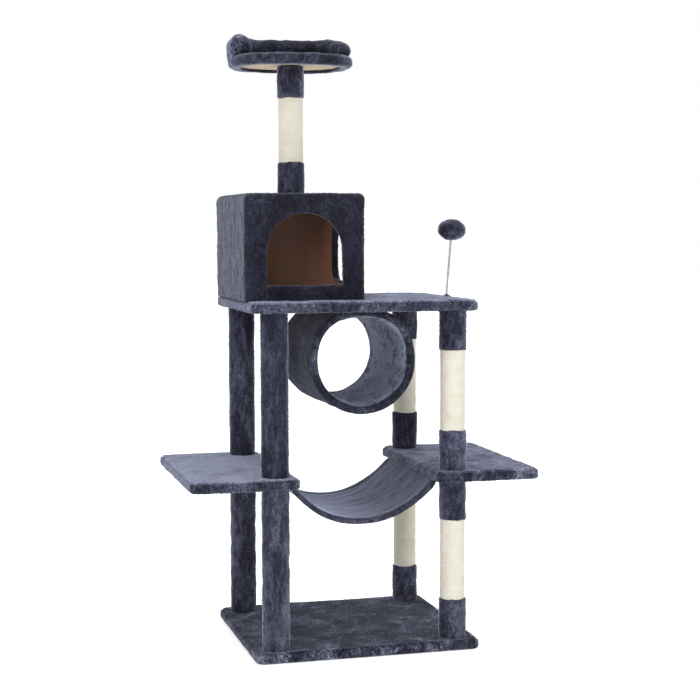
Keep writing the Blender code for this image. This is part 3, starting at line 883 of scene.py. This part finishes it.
def makeHammock():
    # one closed section, flat in the middle and rolled at both edges, is carried along the sag
    low, high = box("hammock")
    half, wide = high[0], high[1]
    sagHalf, thick = hammock["sagHalf"], hammock["thick"]
    sag = high[2] - low[2] - thick
    x = np.linspace(-half, half, int(2 * half * 1.2 / hammock["step"]))
    # the lowest line lies a little left of the middle
    leant = x + hammock["shift"] * np.clip(1 - (x / sagHalf) ** 2, 0, 1)
    share = np.clip(leant / sagHalf, -1, 1)
    z = high[2] - thick / 2 - sag * (1 - np.abs(share) ** hammock["sagPower"])
    soft = np.ones(hammock["bend"]) / hammock["bend"]
    padded = np.pad(z, hammock["bend"] // 2, mode="edge")
    z = np.convolve(padded, soft, mode="valid")
    tabStart, tabEnd = hammock["tabStart"], hammock["tabEnd"]
    narrow = np.clip((np.abs(x) - tabStart) / (tabEnd - tabStart), 0, 1)
    reach = wide + (hammock["tab"] - wide) * narrow
    slope = np.gradient(z, x)
    long = np.hypot(1, slope)
    nx, nz = -slope / long, 1 / long

    # section: share of the half width, and height as a share of the thickness
    flat = np.linspace(-1, 1, int(2 * wide / hammock["step"]))
    bulge = hammock["rollWidth"] / wide
    edge = np.clip((np.abs(flat) - (1 - 2 * bulge)) / (2 * bulge), 0, 1)
    tip = np.clip((np.abs(flat) - (1 - bulge)) / bulge, 0, 1)
    rounding = np.sqrt(np.clip(1 - tip ** 2, 0.0, 1))
    share = np.concatenate([flat, flat[::-1][1:-1]])
    roll = np.concatenate([edge, edge[::-1][1:-1]])
    cap = np.concatenate([rounding, rounding[::-1][1:-1]])
    sign = np.concatenate([np.ones(len(flat)), -np.ones(len(flat) - 2)])
    rollHere = (1 - narrow)[:, None] * np.clip((half - 0.03 - np.abs(x)) / 0.02, 0, 1)[:, None]
    bulk = hammock["thin"] + (hammock["roll"] - hammock["thin"]) * roll[None, :] ** 0.7 * rollHere
    height = sign * cap * bulk
    y = reach[:, None] * share[None, :]
    xx, zz = np.repeat(x[:, None], len(share), 1), np.repeat(z[:, None], len(share), 1)
    flatSpot = np.stack([xx * 0.55, y, 0 * y], -1).reshape(-1, 3)
    fade = np.clip((hammock["creaseEnd"] - np.abs(xx)) / 0.02, 0, 1)
    fold = ripple(flatSpot, 0.060, 31).reshape(y.shape) * hammock["crease"]
    height = height + fold * fade
    height = height - hammock["droop"] * (roll[None, :] * (y < 0)) * rollHere
    points = np.stack([xx + nx[:, None] * height, y, zz + nz[:, None] * height], -1)
    count = len(share)
    material = plushMaterial("plush_hammock", 0.08, (0.6, 1, 0.6), 0.8, 23.0, 0.95, 0.0030)
    obj = meshFrom("hammock_cloth", points.reshape(-1, 3), gridFaces(len(x), count, False, True),
                   endCaps(len(x), count), material)
    faceOutwards(obj)
    brush(obj, 33, 0.4)
    run = float(np.hypot(np.diff(x), np.diff(z)).sum())
    finishPiece(obj, "frame", "plush", "hammock")
    print("hammock done, cut", round(2 * wide, 3), "by", round(run, 3))


makeHammock()


# perch

perch = {"step": 0.0034, "edge": 0.0125, "fold": 0.030, "skin": 0.0050, "power": 2.5, "nap": 0.0012}
# angles in degrees, from the perch's right side towards its back
bolster = {"radius": 0.0300, "turn": (-30, 198), "taper": (45, 76), "keepOut": 0.85, "gap": 0.001,
           "level": 0.985, "leftFrom": 140, "leftSpan": 30, "leftOut": 0.0070, "leftDrop": 0.030,
           "leftRise": -0.003, "litWidth": 0.050, "litFade": 0.030, "rows": 150, "around": 56,
           "dents": ((0.0007, 0.06, 61), (0.0003, 0.026, 62))}
filling = {"pressure": 3.0, "cap": 0.0025, "voxel": 0.0045, "tension": 20, "bending": 1.5,
           "frames": 20}


def bolsterShape():
    # a tube on the perch's outline set in by its radius, with round ends. It thins in a
    # quarter ellipse towards the right end, along the perch's edge; the left end leans out
    # and hangs over the perch's round edge
    r, rows = bolster["radius"], bolster["rows"]
    degrees = np.linspace(*bolster["turn"], 140)
    plateLow, plateHigh = box("perch_cover")
    centre = (plateLow + plateHigh) / 2
    half = (plateHigh - plateLow) / 2 - (r + bolster["gap"])
    turn = np.radians(degrees)
    c, s, power = np.cos(turn), np.sin(turn), perch["power"]
    x = centre[0] + half[0] * np.sign(c) * np.abs(c) ** (2 / power)
    y = centre[1] + half[1] * np.sign(s) * np.abs(s) ** (2 / power)
    travel = np.concatenate([[0], np.cumsum(np.hypot(np.diff(x), np.diff(y)))])
    even = np.linspace(0, travel[-1], rows)
    x, y, degrees = (np.interp(even, travel, value) for value in (x, y, degrees))
    soft = np.ones(7) / 7
    x[3:-3], y[3:-3] = np.convolve(x, soft, "valid"), np.convolve(y, soft, "valid")
    first, span = bolster["taper"]
    thin = np.clip((first - degrees) / span, 0, 1)
    full = r * np.sqrt(np.clip(1 - thin ** 2, 0.05, 1))
    near = np.clip(np.minimum(even, travel[-1] - even) / full, 0, 1)
    bulk = full * np.sqrt(np.clip(1 - (1 - near) ** 2, 0.0004, 1))
    left = np.clip((degrees - bolster["leftFrom"]) / bolster["leftSpan"], 0, 1)
    left = (left ** 2 * (3 - 2 * left))[:, None]
    dx, dy = np.gradient(x), np.gradient(y)
    long = np.hypot(dx, dy)
    out = np.column_stack([dy / long, -dx / long])
    around = np.linspace(0, 2 * math.pi, bolster["around"], endpoint=False)
    cosine, sine = np.cos(around), np.sin(around)
    spare = bolster["keepOut"] * (r - full)[:, None]
    across = bulk[:, None] * cosine + bolster["leftOut"] * left + spare
    hang = np.clip(1.6 * cosine, 0, 1) * np.clip(-1.6 * sine - 0.1, 0, 1)
    across += left * hang * (bulk[:, None] + 0.3 * bolster["leftOut"] - across)
    up = (bulk[:, None] * sine + bolster["leftRise"] * left * (1 + sine) / 2
          - bolster["leftDrop"] * left * hang * (bulk / r)[:, None])
    level = plateHigh[2] + full[:, None] * bolster["level"]
    points = np.stack([x[:, None] + out[:, :1] * across, y[:, None] + out[:, 1:] * across,
                       level + up], -1)
    return points, gridFaces(rows, bolster["around"], False, True)


def evaluated(obj):
    # the mesh as its modifiers leave it
    graph = bpy.context.evaluated_depsgraph_get()
    mesh = bpy.data.meshes.new_from_object(obj.evaluated_get(graph))
    obj.modifiers.clear()
    return mesh


def fill(obj):
    # fills the pad by cloth simulation, and holds every point within cap of where it was
    scene = bpy.context.scene
    materials = list(obj.data.materials)
    remesh = obj.modifiers.new("even", "REMESH")
    remesh.mode, remesh.voxel_size = "VOXEL", filling["voxel"]
    obj.data = evaluated(obj)
    if not obj.data.materials:
        for material in materials:
            obj.data.materials.append(material)
    start = pointsOf(obj)
    cloth = obj.modifiers.new("filling", "CLOTH")
    cloth.settings.use_pressure = True
    cloth.settings.uniform_pressure_force = filling["pressure"]
    cloth.settings.effector_weights.gravity = 0
    cloth.settings.tension_stiffness = filling["tension"]
    cloth.settings.bending_stiffness = filling["bending"]
    cloth.point_cache.frame_end = filling["frames"]
    for frameNumber in range(1, filling["frames"] + 1):
        scene.frame_set(frameNumber)
    obj.data = evaluated(obj)
    moved = pointsOf(obj) - start
    far = np.maximum(np.linalg.norm(moved, axis=1), 1e-9)
    setPoints(obj, start + moved * (np.minimum(far, filling["cap"]) / far)[:, None])
    scene.frame_set(1)


def makePerch():
    low, high = box("perch_cover")
    plan = ovalPlan((low + high)[:2] / 2, (high - low)[:2] / 2, perch["power"])
    material = plushMaterial("plush_perch", 0.0, (1, 1, 0.6), 1.0, 29.0, 0.5)
    obj = plateSurface("perch_plush", low, high, plan, perch["step"], perch["edge"], perch["fold"],
                       perch["skin"], material)
    faceOutwards(obj)
    fromMiddle = np.abs(pointsOf(obj)[:, 2] - (low[2] + high[2]) / 2)
    brush(obj, 51, 0.9, np.clip(fromMiddle / 0.004, 0.4, 1), perch["nap"])
    finishPiece(obj, "frame", "plush", "perch_cover")

    points, quads = bolsterShape()
    rows, count = points.shape[:2]
    material = plushMaterial("plush_bolster", -0.36, (1, 1, 1), 0.9, 31.0, 0.36, inner=0.34)
    pad = meshFrom("perch_bolster_plush", points.reshape(-1, 3), quads,
                   endCaps(rows, count), material)
    faceOutwards(pad)
    fill(pad)
    finer = pad.modifiers.new("finer", "SUBSURF")
    finer.levels = finer.render_levels = 1
    pad.data = evaluated(pad)
    spot = pointsOf(pad)
    dents = sum(height * ripple(spot, size, seed) for height, size, seed in bolster["dents"])
    setPoints(pad, spot + normalsOf(pad) * dents[:, None])
    brush(pad, 63, 0.8)
    # painted light: the left end, which leans out towards the front, is painted lighter than the
    # rest
    fromLeft = low[0] + bolster["litWidth"] - pointsOf(pad)[:, 0]
    markPaintedLight(pad, np.clip(fromLeft / bolster["litFade"], 0, 1))
    pad.data.shade_smooth()
    finishPiece(pad, "frame", "plush", "perch_bolster")
    print("perch done")


makePerch()


# toy

toy = {"wire": 0.00055, "coil": 0.0029, "pitch": 0.00155, "perTurn": 14, "around": 6,
       "intoFoot": 0.0036, "intoBall": 0.002, "ballHalf": 0.028, "ballRows": 70}


def springSurface(name, start, end, node):
    # a round wire carried along a helix whose axis runs from start to end
    start, end = np.array(start), np.array(end)
    length = np.linalg.norm(end - start)
    axis = (end - start) / length
    side = np.cross(axis, (0, 1, 0))
    side /= np.linalg.norm(side)
    other = np.cross(axis, side)
    turns = length / toy["pitch"]
    t = np.linspace(0, 2 * math.pi * turns, int(turns * toy["perTurn"]))
    out = np.outer(np.cos(t), side) + np.outer(np.sin(t), other)
    middle = start + np.outer(t / (2 * math.pi) * toy["pitch"], axis) + out * toy["coil"]
    a = np.linspace(0, 2 * math.pi, toy["around"], endpoint=False)
    points = (middle[:, None] + toy["wire"] * (np.cos(a)[None, :, None] * out[:, None]
                                               + np.sin(a)[None, :, None] * axis))
    count = toy["around"]
    obj = meshFrom(name, points.reshape(-1, 3), gridFaces(len(t), count, False, True),
                   endCaps(len(t), count), wireMaterial)
    faceOutwards(obj)
    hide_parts(node)
    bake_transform(obj)


def makeToy():
    joints = {joint["name"]: joint for joint in frame["joints"]}
    foot = np.array(joints["toy_sway_side"]["pos_m"])
    bend = np.array(joints["toy_sway_fore_aft"]["pos_m"])
    axis = (bend - foot) / np.linalg.norm(bend - foot)
    low, high = box("toy_ball")
    middle = (low + high) / 2
    wide = (high - low)[1] / 2
    half = np.array([wide, wide, toy["ballHalf"]])
    tip = foot + axis * (np.dot(middle - foot, axis) - half[2] + toy["intoBall"])
    springSurface("toy_coil_lower", foot - axis * toy["intoFoot"], bend, "toy_spring_lower")
    springSurface("toy_coil_upper", bend, tip, "toy_spring_upper")

    # the ball: an ellipsoid that leans with its spring
    rows = toy["ballRows"]
    down, turn = np.meshgrid(np.linspace(0, math.pi, rows),
                             np.linspace(0, 2 * math.pi, 2 * rows), indexing="ij")
    local = np.stack([np.sin(down) * np.cos(turn) * half[0],
                      np.sin(down) * np.sin(turn) * half[1],
                      np.cos(down) * half[2]], -1).reshape(-1, 3)
    side = np.cross((0, 1, 0), axis)
    points = middle + local @ np.array([side, (0, 1, 0), axis])
    ball = meshFrom("toy_ball_plush", points, gridFaces(rows, 2 * rows), (),
                    plushMaterial("plush_ball", 0.0, (1, 1, 1), 1.0, 37.0))
    faceOutwards(ball)
    spot = pointsOf(ball)
    setPoints(ball, spot + normalsOf(ball) * (0.0005 * ripple(spot, 0.03, 66))[:, None])
    brush(ball, 67, 1.0)
    finishPiece(ball, "toy_tip", "plush", "toy_ball")
    print("toy done")


makeToy()


# finishes of the frame's own pieces

def finishOf(name):
    # the right wall takes the copy with painted light
    if name == "house_right_board":
        return houseLitBoardMaterial
    if name.startswith("house"):
        return houseMaterial
    if name.endswith("_board"):
        return chipMaterial
    if name.endswith("_tube"):
        return cardMaterial
    if name == "toy_foot":
        return plasticMaterial()
    return steelMaterial


for name, node in frame["nodes"].items():
    if node.hide_render:
        continue
    node.data.materials.clear()
    node.data.materials.append(finishOf(name))
print("finishes done")
